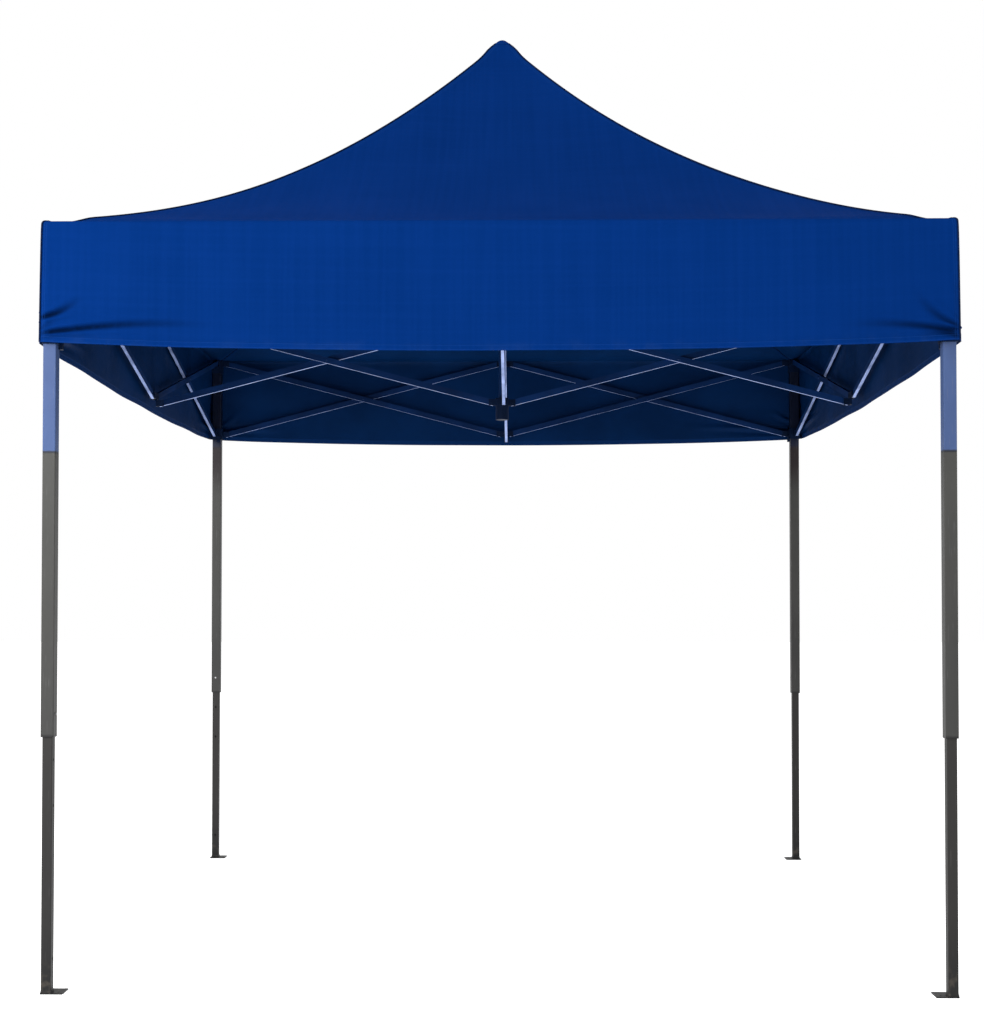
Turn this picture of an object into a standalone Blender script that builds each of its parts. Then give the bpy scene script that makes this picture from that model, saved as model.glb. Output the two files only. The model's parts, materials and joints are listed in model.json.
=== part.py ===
"""A pop up gazebo: a square scissor truss on four telescopic legs, under a hipped cloth canopy.

Run it with: blender --background --python part.py
Metres, +Z up. The origin is on the ground under the centre, and the front faces -Y. Each side of the truss
is drawn once, as the front side, and turned about Z for the other three. In a side's own frame +X runs
along the side, +Y points to the centre of the gazebo, and Z is the height.
"""

import math

import bmesh
import bpy
from mathutils import Matrix, Vector

# Plan and heights
LEG_AT = 1.475  # from the centre to a leg's centre line, along X and along Y
SIDE_HIGH, SIDE_LOW = 2.518, 2.158  # pivots of the side trusses: leg brackets, and sliders
CROSS_DROP = 0.030  # the cross truss hangs this much under the side trusses
CROSS_HIGH, CROSS_LOW = SIDE_HIGH - CROSS_DROP, SIDE_LOW - CROSS_DROP
MIDDLE_LOW, MIDDLE_CROSS = 0.031, 0.036  # middle connector to its side pivots, and to its cross pivot
LEG_EAR, HUB_EAR = 0.050, 0.045  # leg and hub centre lines to their pivots
# All bars are one length, so MIDDLE_LOW + LEG_EAR equals MIDDLE_CROSS + HUB_EAR.

# Truss bars: rectangular tube, the two of a scissor side by side
BAR_DEPTH, BAR_THICK, BAR_WALL, BAR_END = 0.025, 0.0125, 0.0008, 0.010
LAYER = 0.0072  # a bar's middle plane to the plane between the two bars
BAR_RISE = SIDE_HIGH - SIDE_LOW
BAR_RUN = LEG_AT - MIDDLE_LOW - LEG_EAR
BAR_SPAN = math.hypot(BAR_RUN, BAR_RISE)  # pivot to pivot
BAR_SLOPE = math.atan2(BAR_RISE, BAR_RUN)
PIN_RADIUS, HOLE_RADIUS, HEAD_RADIUS, HEAD_THICK = 0.0030, 0.0038, 0.0055, 0.0012
PIN_SIDES, ROUND_SIDES = 6, 16  # the bolts have hexagonal heads
FREE = 0.0003  # running gap between two pieces that turn or slide past each other
SINK = 0.0010  # how far a bolt's head or a web is drawn into the plate that it joins
INSET = 0.0002  # keeps the faces of a joined block just inside its neighbour's
ROOT = 0.0020  # how far a fork's root is drawn into its body
PAST = 0.010  # how far a cutter stands out of what it cuts

# Plastic forks that hold the bars
FORK_PLAY, CHEEK, CHEEK_HALF, CHEEK_END = 0.0004, 0.0035, 0.0130, 0.0110
WEB_HALF = 0.009
HUB_RADIUS, HUB_ROOT = 0.027, 0.020
HUB_UPPER_ABOVE, HUB_UPPER_BELOW = 0.020, 0.022
HUB_LOWER_ABOVE, HUB_LOWER_BELOW = 0.018, 0.073

# Legs
TUBE_ROUND, TUBE_STEPS = 0.0025, 2
UPPER_HALF, UPPER_WALL, UPPER_BOTTOM, UPPER_TOP = 0.0215, 0.0011, 0.838, 2.4995
GUIDE_HALF, GUIDE_TALL = 0.0171, 0.012  # the guide lip inside the upper leg's lower end
LOWER_HALF, LOWER_WALL, LOWER_TOP = 0.01675, 0.0011, 1.005
FOOT_REACH, FOOT_THICK, FOOT_LIP, FOOT_FLOOR = 0.055, 0.004, 0.0020, 0.006
WELD_HALF, WELD_TALL = 0.0182, 0.009  # the weld that flares the tube where it meets its foot plate
PEG_AT, PEG_RADIUS = 0.038, 0.0045
BUTTON_AT, BUTTON_RADIUS, BUTTON_HOLE, BUTTON_STANDS = 0.913, 0.0042, 0.0050, 0.0035
HEIGHT_STEP, HEIGHT_HOLES = 0.150, 3
LEG_TRAVEL = 0.800  # how far the lower leg slides up, to the hole that holds it shut
SLEEVE_HALF = 0.0219  # inside of a bracket's socket and of a slider
BRACKET_OUT, BRACKET_IN, BRACKET_BELOW, BRACKET_ABOVE = 0.0240, 0.0255, 0.048, 0.0155
BRACKET_BEVEL = 0.009  # slopes the bracket's outer top edges, under the rounded eave of the cloth
SLIDER_OUT, SLIDER_IN, SLIDER_TALL = 0.0249, 0.0270, 0.056
TAB_WIDE, TAB_OUT, TAB_TALL = 0.018, 0.009, 0.030

# Centre pole and its cap
POLE_RADIUS, POLE_WALL, POLE_BORE, SOCKET_BORE = 0.0140, 0.0012, 0.0152, 0.0146
SOCKET_FLOOR = 0.032  # under the lower hub's pivots
CAP_RADIUS, CAP_UNDER, CAP_WALL, CAP_STEPS = 0.044, 3.610, 0.003, 4

# Canopy
EAVE_HALF, HEM_HALF = 1.5005, 1.5045  # the cloth's middle, at the eave and at the valance's hem
EAVE_ROUND = 0.014  # the roof's seam lies this much inside the eave
EAVE_HEIGHT, HEM_HEIGHT = 2.537, 2.135
CLOTH = 0.0012
ROOF_RISE, ROOF_STRAIGHT, ROOF_SAG = 1.126, 0.345, 0.030
TENT_RISE, TENT_HALF = 0.0556, 0.102  # the cap lifts the cloth into a steeper tip inside this
NOSE_HALF = 0.051  # the cap rounds the peak off inside this
HIP_GAP, TIP_HALF = 0.0003, 0.0016
ROOF_ROWS, TENT_ROWS, NOSE_ROWS, ROOF_COLUMNS = 8, 2, 4, 6
SHARP_ANGLE = math.radians(30)
MERGE = 0.0001

SIDES = ("front", "right", "back", "left")
CORNERS = ("fl", "fr", "br", "bl")


# --- tools ---------------------------------------------------------------------------------------------


def collection(name):
    made = bpy.data.collections.new(name)
    bpy.context.scene.collection.children.link(made)
    return made


def clear_scene():
    for old in list(bpy.data.objects):
        bpy.data.objects.remove(old)


def helper(build):
    """An unnamed object that holds what build draws into a bmesh."""
    shape, mesh = bmesh.new(), bpy.data.meshes.new("helper")
    build(shape)
    shape.to_mesh(mesh)
    shape.free()
    made = bpy.data.objects.new("helper", mesh)
    HELPERS.objects.link(made)
    return made


def block(low, high):
    """A box between two corners."""
    size, middle = Vector(high) - Vector(low), (Vector(high) + Vector(low)) / 2
    place = Matrix.Translation(middle) @ Matrix.Diagonal((*size, 1))
    return helper(lambda shape: bmesh.ops.create_cube(shape, size=1, matrix=place))


def rod(start, end, radius, sides=PIN_SIDES):
    """A cylinder from one point to another."""
    axis, middle = Vector(end) - Vector(start), (Vector(end) + Vector(start)) / 2
    place = Matrix.Translation(middle) @ axis.to_track_quat("Z", "Y").to_matrix().to_4x4()
    return helper(
        lambda shape: bmesh.ops.create_cone(
            shape,
            cap_ends=True,
            segments=sides,
            radius1=radius,
            radius2=radius,
            depth=axis.length,
            matrix=place,
        )
    )


def square_taper(low_half, high_half, low, high):
    """A square block whose half width changes from its bottom to its top."""
    place = Matrix.Translation((0, 0, (low + high) / 2)) @ Matrix.Rotation(math.radians(45), 4, "Z")
    return helper(
        lambda shape: bmesh.ops.create_cone(
            shape,
            cap_ends=True,
            segments=4,
            radius1=low_half * math.sqrt(2),
            radius2=high_half * math.sqrt(2),
            depth=high - low,
            matrix=place,
        )
    )


def baked(base):
    """The mesh of a helper with its modifiers applied. The helper is used up."""
    graph = bpy.context.evaluated_depsgraph_get()
    mesh = bpy.data.meshes.new_from_object(base.evaluated_get(graph))
    mesh.shade_smooth()
    mesh.set_sharp_from_angle(angle=SHARP_ANGLE)
    bpy.data.objects.remove(base)
    return mesh


def solid(base, add=(), cut=()):
    """The mesh of base with helpers joined on and cut away. The helpers are used up."""
    for operation, others in (("UNION", add), ("DIFFERENCE", cut)):
        for other in others:
            step = base.modifiers.new(operation.lower(), "BOOLEAN")
            step.operation = operation
            step.solver = "EXACT"
            step.object = other
    bpy.context.view_layer.update()
    mesh = baked(base)
    for other in (*add, *cut):
        bpy.data.objects.remove(other)
    return mesh


def linear(value):
    """A display colour value as linear light."""
    return value / 12.92 if value <= 0.04045 else ((value + 0.055) / 1.055) ** 2.4


def material(name, colour, roughness, metallic=0.0):
    made = bpy.data.materials.new(name)
    made.use_nodes = True
    shader = made.node_tree.nodes["Principled BSDF"]
    shader.inputs["Base Color"].default_value = (*(linear(c / 255) for c in colour), 1)
    shader.inputs["Roughness"].default_value = roughness
    shader.inputs["Metallic"].default_value = metallic
    return made


def hinge(name, place):
    """An empty on the axis of a hinge. The pieces that turn about it are its children."""
    made = bpy.data.objects.new(name, None)
    made.matrix_basis = place
    GAZEBO.objects.link(made)
    return made


def part(name, mesh, finish, place, carrier=None):
    """One named sub-part. place is its world matrix, and carrier is the empty it hangs from, if any."""
    if not mesh.materials:
        mesh.materials.append(finish)
    made = bpy.data.objects.new(name, mesh)
    if carrier:
        made.parent = carrier
        made.matrix_basis = carrier.matrix_basis.inverted() @ place
    else:
        made.matrix_basis = place
    GAZEBO.objects.link(made)
    return made


def side_frame(number):
    return Matrix.Rotation(number * math.pi / 2, 4, "Z")


def at(x, y, z):
    return Matrix.Translation((x, y, z))


def along(axis, forward, across, height):
    """A point of a fork that runs along X or along Y."""
    return (forward, across, height) if axis == "X" else (across, forward, height)


# --- forks and bars ------------------------------------------------------------------------------------


def bolt(axis, forward, layer, height):
    """A bolt through both cheeks of a fork, with a head outside each."""
    outer = BAR_THICK / 2 + FORK_PLAY + CHEEK
    ends = [along(axis, forward, layer + way * outer, height) for way in (-1, 1)]
    shapes = [rod(ends[0], ends[1], PIN_RADIUS)]
    for way in (-1, 1):
        start = along(axis, forward, layer + way * (outer - SINK), height)
        end = along(axis, forward, layer + way * (outer + HEAD_THICK), height)
        shapes.append(rod(start, end, HEAD_RADIUS))
    return shapes


def cheeks(axis, root, tip, layer, height):
    """The two plates of a fork, from root to tip."""
    inner = BAR_THICK / 2 + FORK_PLAY
    low, high = min(root, tip), max(root, tip)
    shapes = []
    for near, far in ((-inner - CHEEK, -inner), (inner, inner + CHEEK)):
        corner = along(axis, low, layer + near, height - CHEEK_HALF)
        other = along(axis, high, layer + far, height + CHEEK_HALF)
        shapes.append(block(corner, other))
    return shapes


def fork(axis, root, pivot, layer, height):
    """A fork with its bolt, from root to a little past the pivot."""
    tip = pivot + math.copysign(CHEEK_END, pivot - root)
    return cheeks(axis, root, tip, layer, height) + bolt(axis, pivot, layer, height)


def bar_tube(start):
    """A rectangular tube along X, and the bore to be cut from it. start is where its first pivot lies."""
    low, high = start - BAR_END, start + BAR_SPAN + BAR_END
    deep, thick = BAR_DEPTH / 2, BAR_THICK / 2
    tube = block((low, -thick, -deep), (high, thick, deep))
    inside_deep, inside_thick = deep - BAR_WALL, thick - BAR_WALL
    bore = block((low - PAST, -inside_thick, -inside_deep), (high + PAST, inside_thick, inside_deep))
    return tube, bore


def pin_hole(x):
    return rod((x, -BAR_THICK, 0), (x, BAR_THICK, 0), HOLE_RADIUS)


def falling_bar():
    """The bar that carries the scissor's middle bolt, on its -Y side. Its origin is on its end pivot."""
    tube, bore = bar_tube(0)
    tube_mesh = solid(tube, cut=[bore, pin_hole(0), pin_hole(BAR_SPAN)])
    drilled = helper(lambda shape: shape.from_mesh(tube_mesh))
    middle, near = BAR_SPAN / 2, BAR_THICK / 2
    far = -2 * LAYER - BAR_THICK / 2 - FREE
    pin = rod((middle, near + HEAD_THICK / 2, 0), (middle, far - HEAD_THICK / 2, 0), PIN_RADIUS)
    near_head = rod((middle, near - BAR_WALL / 2, 0), (middle, near + HEAD_THICK, 0), HEAD_RADIUS)
    far_head = rod((middle, far, 0), (middle, far - HEAD_THICK, 0), HEAD_RADIUS)
    return solid(drilled, add=[near_head, pin, far_head])


def rising_bar(start):
    """The bar that turns on the other's middle bolt. start is its first pivot, from its origin."""
    tube, bore = bar_tube(start)
    holes = [pin_hole(start + share * BAR_SPAN) for share in (0, 0.5, 1)]
    return solid(tube, cut=[bore] + holes)


# --- connectors ----------------------------------------------------------------------------------------


def turned_wedge(axis, edge, top, bevel, length):
    """A square bar turned 45 degrees, along X or Y, which cuts a bevel where the side at edge meets top."""
    half = bevel / math.sqrt(2)
    shape = block((-length, -half, -half), (length, half, half))
    shape.data.transform(Matrix.Rotation(math.radians(45), 4, "X"))
    if axis == "Y":
        shape.data.transform(Matrix.Rotation(math.radians(90), 4, "Z"))
    shape.data.transform(Matrix.Translation(along(axis, 0, edge, top)))
    return shape


def middle_connector(layer):
    """The joint at the middle of a side: a fork for a bar each way, and one for the cross truss under them.
    Its origin is on its cross pivot. layer is the plane of its side bars; the cross bar is on the other."""
    side, cross = -MIDDLE_CROSS, CROSS_DROP
    reach = MIDDLE_LOW + CHEEK_END
    plates = cheeks("X", -reach, reach, side + layer, cross)
    half = BAR_THICK / 2 + FORK_PLAY + CHEEK
    web = block(
        (-WEB_HALF, side + layer - half + SINK, cross - CHEEK_HALF + SINK),
        (WEB_HALF, side + layer + half - SINK, cross + CHEEK_HALF - SINK),
    )
    face = side + layer + half
    back = block(
        (-layer - half, face - CHEEK + INSET, -CHEEK_HALF),
        (-layer + half, face - INSET, cross),
    )
    bolts = bolt("X", -MIDDLE_LOW, side + layer, cross) + bolt("X", MIDDLE_LOW, side + layer, cross)
    inward = fork("Y", face - CHEEK / 2, 0, -layer, 0)
    return solid(web, add=plates + [back] + inward + bolts)


def turned_fork(number, pivot, layer):
    """A hub's fork towards one side of the gazebo."""
    shapes = fork("Y", -HUB_ROOT, -pivot, layer, 0)
    for shape in shapes:
        shape.data.transform(side_frame(number))
    return shapes


def hub(layer, above, below, bore):
    """A round hub with four forks. Its origin is on its centre line, level with its pivots."""
    body = rod((0, 0, -below), (0, 0, above), HUB_RADIUS, ROUND_SIDES)
    forks = [shape for number in range(4) for shape in turned_fork(number, HUB_EAR, layer)]
    return solid(body, add=forks, cut=[bore])


def leg_bracket():
    """The cap on a leg's top, with a fork towards each neighbour. Its origin is level with its pivots."""
    body = block(
        (-BRACKET_OUT, -BRACKET_OUT, -BRACKET_BELOW), (BRACKET_IN, BRACKET_IN, BRACKET_ABOVE)
    )
    size = 2 * BRACKET_OUT
    bevels = [
        turned_wedge(axis, -BRACKET_OUT, BRACKET_ABOVE, BRACKET_BEVEL, size) for axis in ("X", "Y")
    ]
    root = BRACKET_IN - ROOT
    forks = fork("X", root, LEG_EAR, LAYER, 0) + fork("Y", root, LEG_EAR, LAYER, 0)
    socket = block(
        (-SLEEVE_HALF, -SLEEVE_HALF, -2 * BRACKET_BELOW),
        (SLEEVE_HALF, SLEEVE_HALF, UPPER_TOP + FREE - SIDE_HIGH),
    )
    return solid(body, add=forks, cut=[socket] + bevels)


def slider():
    """The sleeve that runs on a leg, with forks and a release tab. Its origin is level with its pivots."""
    half = SLIDER_TALL / 2
    body = block((-SLIDER_OUT, -SLIDER_OUT, -half), (SLIDER_IN, SLIDER_IN, half))
    tab = block(
        (SLIDER_IN - ROOT, SLEEVE_HALF - TAB_WIDE, -half - TAB_TALL / 2),
        (SLIDER_IN + TAB_OUT, SLEEVE_HALF, -half + TAB_TALL / 2),
    )
    root = SLIDER_IN - ROOT
    forks = fork("X", root, LEG_EAR, -LAYER, 0) + fork("Y", root, LEG_EAR, -LAYER, 0)
    sleeve = block((-SLEEVE_HALF, -SLEEVE_HALF, -2 * half), (SLEEVE_HALF, SLEEVE_HALF, 2 * half))
    return solid(body, add=[tab] + forks, cut=[sleeve])


# --- legs ----------------------------------------------------------------------------------------------


def square_post(half, low, high):
    """A square tube's outer or inner shape: a tall block with its four upright edges rounded."""
    post = block((-half, -half, low), (half, half, high))
    shape = bmesh.new()
    shape.from_mesh(post.data)
    upright = [edge for edge in shape.edges if abs(edge.verts[0].co.z - edge.verts[1].co.z) > half]
    bmesh.ops.bevel(
        shape, geom=upright, offset=TUBE_ROUND, segments=TUBE_STEPS, profile=0.5, affect="EDGES"
    )
    shape.to_mesh(post.data)
    shape.free()
    return post


def button_hole(height):
    return rod((0, 0, height), (2 * UPPER_HALF, 0, height), BUTTON_HOLE)


def upper_leg():
    """The outer leg tube, with a guide lip inside its lower end."""
    inside = UPPER_HALF - UPPER_WALL
    bore = square_post(inside, UPPER_BOTTOM + GUIDE_TALL, UPPER_TOP + PAST)
    guide = square_post(GUIDE_HALF, UPPER_BOTTOM - PAST, UPPER_BOTTOM + 2 * GUIDE_TALL)
    tube = square_post(UPPER_HALF, UPPER_BOTTOM, UPPER_TOP)
    return solid(tube, cut=[bore, guide, button_hole(BUTTON_AT)])


def lower_leg():
    """The inner leg tube, welded to a foot plate that reaches towards the centre and has two peg holes."""
    edge = LOWER_HALF + FOOT_LIP
    plate = block((-edge, -edge, 0), (FOOT_REACH, FOOT_REACH, FOOT_THICK))
    tube = square_post(LOWER_HALF, FOOT_THICK / 2, LOWER_TOP)
    weld = square_taper(WELD_HALF, LOWER_HALF - INSET, FOOT_THICK / 2, FOOT_THICK + WELD_TALL)
    bore = square_post(LOWER_HALF - LOWER_WALL, FOOT_FLOOR, LOWER_TOP + PAST)
    pegs = [rod((x, y, -PAST), (x, y, PAST), PEG_RADIUS) for x, y in ((PEG_AT, 0), (0, PEG_AT))]
    drops = [HEIGHT_STEP * step for step in range(HEIGHT_HOLES)] + [LEG_TRAVEL]
    holes = [button_hole(BUTTON_AT - drop) for drop in drops]
    return solid(plate, add=[weld, tube], cut=[bore] + pegs + holes)


def snap_button():
    """The sprung button in the upper leg's hole. Its tip is flush with the tube's inner wall."""
    inner, outer = UPPER_HALF - UPPER_WALL, UPPER_HALF + BUTTON_STANDS
    return solid(rod((inner, 0, 0), (outer, 0, 0), BUTTON_RADIUS))


# --- canopy and pole -----------------------------------------------------------------------------------


def hip_height(half):
    """Height of the roof where its square outline has this half width."""
    out = max(half, NOSE_HALF)
    climb, tent = 1 - out / EAVE_HALF, max(1 - out / TENT_HALF, 0)
    height = EAVE_HEIGHT + ROOF_RISE * (ROOF_STRAIGHT * climb + (1 - ROOF_STRAIGHT) * climb**2)
    height += TENT_RISE * tent**2
    if half < NOSE_HALF:
        slope = ROOF_RISE * (ROOF_STRAIGHT + 2 * (1 - ROOF_STRAIGHT) * climb) / EAVE_HALF
        slope += 2 * TENT_RISE * tent / TENT_HALF
        inside = NOSE_HALF - half
        height += slope * (inside - inside**2 / (2 * NOSE_HALF))
    return height


def roof_height(half, share):
    """The cloth hangs a little between the hips. share runs from -1 to 1 across a panel."""
    climb, off_cap = 1 - half / EAVE_HALF, max(half - NOSE_HALF, 0) / EAVE_HALF
    return hip_height(half) - ROOF_SAG * 4 * climb * off_cap * (1 - share**2)


def roof_halves():
    """Half widths of the rows of a roof panel, closer together on the tip over the cap."""
    ends = ((EAVE_HALF, TENT_HALF, ROOF_ROWS), (TENT_HALF, NOSE_HALF, TENT_ROWS), (NOSE_HALF, TIP_HALF, NOSE_ROWS))
    halves = [start + row / rows * (end - start) for start, end, rows in ends for row in range(rows)]
    return halves + [TIP_HALF]


def draw_roof(shape):
    rows = []
    for half in roof_halves():
        shares = [2 * column / ROOF_COLUMNS - 1 for column in range(ROOF_COLUMNS + 1)]
        points = [(s * (half - HIP_GAP), -half, roof_height(half, s)) for s in shares]
        rows.append([shape.verts.new(point) for point in points])
    for lower, upper in zip(rows, rows[1:]):
        for n in range(ROOF_COLUMNS):
            shape.faces.new((lower[n], lower[n + 1], upper[n + 1], upper[n]))
    under = bmesh.ops.extrude_face_region(shape, geom=shape.faces[:])["geom"]
    moved = [v for v in under if isinstance(v, bmesh.types.BMVert)]
    bmesh.ops.translate(shape, vec=(0, 0, CLOTH), verts=moved)
    bmesh.ops.recalc_face_normals(shape, faces=shape.faces[:])
    origin = (0, EAVE_HALF - EAVE_ROUND, -EAVE_HEIGHT - CLOTH)
    bmesh.ops.translate(shape, vec=origin, verts=shape.verts[:])


def roof_panel():
    """A triangle of roof cloth in a side's frame. Its origin is on the middle of its eave seam."""
    return baked(helper(draw_roof))


def valance():
    """The cloth wall that hangs from the eave all the way round."""
    top = EAVE_HEIGHT - CLOTH - 2 * FREE
    half = CLOTH / 2
    outer = square_taper(HEM_HALF + half, EAVE_HALF + half, HEM_HEIGHT, top)
    flare = (HEM_HALF - EAVE_HALF) / (top - HEM_HEIGHT) * PAST
    low_half, high_half = HEM_HALF - half + flare, EAVE_HALF - half - flare
    inner = square_taper(low_half, high_half, HEM_HEIGHT - PAST, top + PAST)
    return solid(outer, cut=[inner])


def cap_outline():
    """The thin cap's outer side from its tip down, a little inside the roof cloth, then its inner side."""
    clear = CLOTH + 3 * FREE
    radii = [step * CAP_RADIUS / CAP_STEPS for step in range(CAP_STEPS + 1)]
    outer = [(radius, hip_height(radius) - clear) for radius in radii]
    inner_top = hip_height(POLE_RADIUS) - clear - 2 * CAP_WALL
    return outer + [(CAP_RADIUS, CAP_UNDER), (CAP_RADIUS - CAP_WALL, CAP_UNDER), (POLE_RADIUS, inner_top)]


def centre_pole():
    """The pole with its mushroom cap: a turned outline, closed at the top and open below."""
    foot = CROSS_LOW - SOCKET_FLOOR + FREE
    inside = POLE_RADIUS - POLE_WALL
    outline = cap_outline() + [(POLE_RADIUS, foot), (inside, foot), (inside, CAP_UNDER), (0, CAP_UNDER)]

    def draw(shape):
        points = [shape.verts.new((radius, 0, height - foot)) for radius, height in outline]
        for first, second in zip(points, points[1:]):
            shape.edges.new((first, second))

    pole = helper(draw)
    turn = pole.modifiers.new("turn", "SCREW")
    turn.steps = turn.render_steps = ROUND_SIDES
    turn.use_merge_vertices = True
    turn.merge_threshold = MERGE
    bpy.context.view_layer.update()
    return baked(pole)


# --- the whole gazebo ----------------------------------------------------------------------------------


def build_hubs(plastic, steel):
    low, high = (0, 0, -HUB_UPPER_BELOW - PAST), (0, 0, HUB_UPPER_ABOVE + PAST)
    upper = hub(-LAYER, HUB_UPPER_ABOVE, HUB_UPPER_BELOW, rod(low, high, POLE_BORE, ROUND_SIDES))
    part("hub_upper", upper, plastic, at(0, 0, CROSS_HIGH))
    low, high = (0, 0, -SOCKET_FLOOR), (0, 0, HUB_LOWER_ABOVE + PAST)
    lower = hub(LAYER, HUB_LOWER_ABOVE, HUB_LOWER_BELOW, rod(low, high, SOCKET_BORE, ROUND_SIDES))
    carrier = hinge("hub_lower_hinge", at(0, -HUB_EAR, CROSS_LOW))
    part("hub_lower", lower, plastic, at(0, 0, CROSS_LOW), carrier)
    part("centre_pole", centre_pole(), steel, at(0, 0, CROSS_LOW - SOCKET_FLOOR + FREE), carrier)


def build_cross_bars(number, side, meshes, steel):
    """The scissor from the hubs to the middle of one side."""
    frame, quarter = side_frame(number), Matrix.Rotation(math.pi / 2, 4, "Z")
    falling = at(-LAYER, -HUB_EAR, CROSS_HIGH) @ quarter @ Matrix.Rotation(math.pi - BAR_SLOPE, 4, "Y")
    part(f"cross_falling_bar_{side}", meshes["falling"], steel, frame @ falling)
    halfway = at(LAYER, -HUB_EAR - BAR_RUN / 2, (CROSS_HIGH + CROSS_LOW) / 2)
    rising = halfway @ quarter @ Matrix.Rotation(math.pi + BAR_SLOPE, 4, "Y")
    part(f"cross_rising_bar_{side}", meshes["rising_centred"], steel, frame @ rising)


def build_side_bars(number, side, meshes, steel):
    """The two scissors of one side. A bar's origin is on its pivot at the middle connector."""
    frame = side_frame(number)
    for way, corner in ((-1, CORNERS[number]), (1, CORNERS[(number + 1) % 4])):
        falling_turn = math.pi + BAR_SLOPE if way < 0 else -BAR_SLOPE
        rising_turn = math.pi - BAR_SLOPE if way < 0 else BAR_SLOPE
        falling = at(way * MIDDLE_LOW, LAYER - LEG_AT, SIDE_LOW) @ Matrix.Rotation(falling_turn, 4, "Y")
        rising = at(way * MIDDLE_LOW, -LAYER - LEG_AT, SIDE_HIGH) @ Matrix.Rotation(rising_turn, 4, "Y")
        part(f"falling_bar_{side}_{corner}", meshes["falling"], steel, frame @ falling)
        part(f"rising_bar_{side}_{corner}", meshes["rising"], steel, frame @ rising)


def build_leg(number, corner, meshes, finishes):
    """One leg and its slider. They turn about their forks for the front and back sides' bars."""
    ground = side_frame(number) @ at(-LEG_AT, -LEG_AT, 0)
    ear = (LEG_EAR, 0) if number % 2 == 0 else (0, LEG_EAR)
    leg = hinge(f"leg_hinge_{corner}", ground @ at(*ear, SIDE_HIGH))
    part(f"upper_leg_{corner}", meshes["upper_leg"], finishes["upper"], ground, leg)
    part(f"leg_bracket_{corner}", meshes["bracket"], finishes["plastic"], ground @ at(0, 0, SIDE_HIGH), leg)
    part(f"lower_leg_{corner}", meshes["lower_leg"], finishes["lower"], ground, leg)
    part(f"snap_button_{corner}", meshes["button"], finishes["bright"], ground @ at(0, 0, BUTTON_AT), leg)
    carrier = hinge(f"slider_hinge_{corner}", ground @ at(*ear, SIDE_LOW))
    part(f"slider_{corner}", meshes["slider"], finishes["plastic"], ground @ at(0, 0, SIDE_LOW), carrier)


def build():
    finishes = {
        "cloth": material("canopy_cloth", (17, 56, 142), 0.65),
        "truss": material("truss_paint", (15, 40, 75), 0.40, 0.3),
        "plastic": material("connector_plastic", (20, 26, 38), 0.50),
        "upper": material("upper_leg_paint", (112, 113, 108), 0.40, 0.4),
        "lower": material("lower_leg_paint", (65, 63, 62), 0.45, 0.4),
        "bright": material("button_metal", (150, 150, 150), 0.30, 1.0),
    }
    meshes = {
        "falling": falling_bar(),
        "rising": rising_bar(0),
        "rising_centred": rising_bar(-BAR_SPAN / 2),
        "upper_leg": upper_leg(),
        "lower_leg": lower_leg(),
        "bracket": leg_bracket(),
        "slider": slider(),
        "button": snap_button(),
        "middle_upper": middle_connector(-LAYER),
        "middle_lower": middle_connector(LAYER),
        "roof": roof_panel(),
    }
    build_hubs(finishes["plastic"], finishes["truss"])
    part("canopy_valance", valance(), finishes["cloth"], Matrix.Identity(4))
    inward = MIDDLE_CROSS - LEG_AT
    for number, side in enumerate(SIDES):
        frame = side_frame(number)
        build_cross_bars(number, side, meshes, finishes["truss"])
        build_side_bars(number, side, meshes, finishes["truss"])
        upper, lower = at(0, inward, CROSS_HIGH), at(0, inward, CROSS_LOW)
        part(f"middle_upper_{side}", meshes["middle_upper"], finishes["plastic"], frame @ upper)
        part(f"middle_lower_{side}", meshes["middle_lower"], finishes["plastic"], frame @ lower)
        seam = frame @ at(0, EAVE_ROUND - EAVE_HALF, EAVE_HEIGHT)
        part(f"canopy_roof_{side}", meshes["roof"], finishes["cloth"], seam)
    for number, corner in enumerate(CORNERS):
        build_leg(number, corner, meshes, finishes)


clear_scene()
GAZEBO, HELPERS = collection("pop_up_gazebo"), collection("cutters")
build()
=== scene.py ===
"""The looks of a pop up gazebo: its cloth cover, materials, studio light and camera.

Metres, +Z up, front towards -Y. The sides are numbered front, right, back, left, each a quarter turn about
Z from the one before. Each side's cloth is made in the front side's place and then turned.
"""

import json
import math

import bpy
import numpy as np
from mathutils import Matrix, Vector


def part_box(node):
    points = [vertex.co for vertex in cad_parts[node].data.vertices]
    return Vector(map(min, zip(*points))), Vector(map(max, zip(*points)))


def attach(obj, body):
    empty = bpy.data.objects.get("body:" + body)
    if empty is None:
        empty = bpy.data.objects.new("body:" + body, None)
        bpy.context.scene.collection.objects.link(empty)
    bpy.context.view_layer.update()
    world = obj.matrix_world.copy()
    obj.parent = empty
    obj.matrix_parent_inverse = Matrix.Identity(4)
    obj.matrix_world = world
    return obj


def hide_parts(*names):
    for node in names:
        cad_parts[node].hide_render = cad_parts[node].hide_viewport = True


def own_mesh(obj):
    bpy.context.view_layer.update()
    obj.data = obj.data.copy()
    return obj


SIDES = ("front", "right", "back", "left")
QUARTERS = ((1, 0), (0, 1), (-1, 0), (0, -1))  # the cosine and sine of each side's turn

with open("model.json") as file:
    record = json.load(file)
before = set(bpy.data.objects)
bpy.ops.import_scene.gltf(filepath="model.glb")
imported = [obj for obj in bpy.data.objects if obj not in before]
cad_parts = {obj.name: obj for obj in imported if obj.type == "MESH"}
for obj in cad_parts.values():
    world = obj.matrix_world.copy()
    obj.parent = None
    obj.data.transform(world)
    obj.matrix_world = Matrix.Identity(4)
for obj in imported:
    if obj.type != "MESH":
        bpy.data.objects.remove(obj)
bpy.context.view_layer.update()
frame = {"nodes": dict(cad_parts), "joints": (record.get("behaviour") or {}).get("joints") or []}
JOINTS = {joint["name"]: joint for joint in frame["joints"]}

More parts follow.
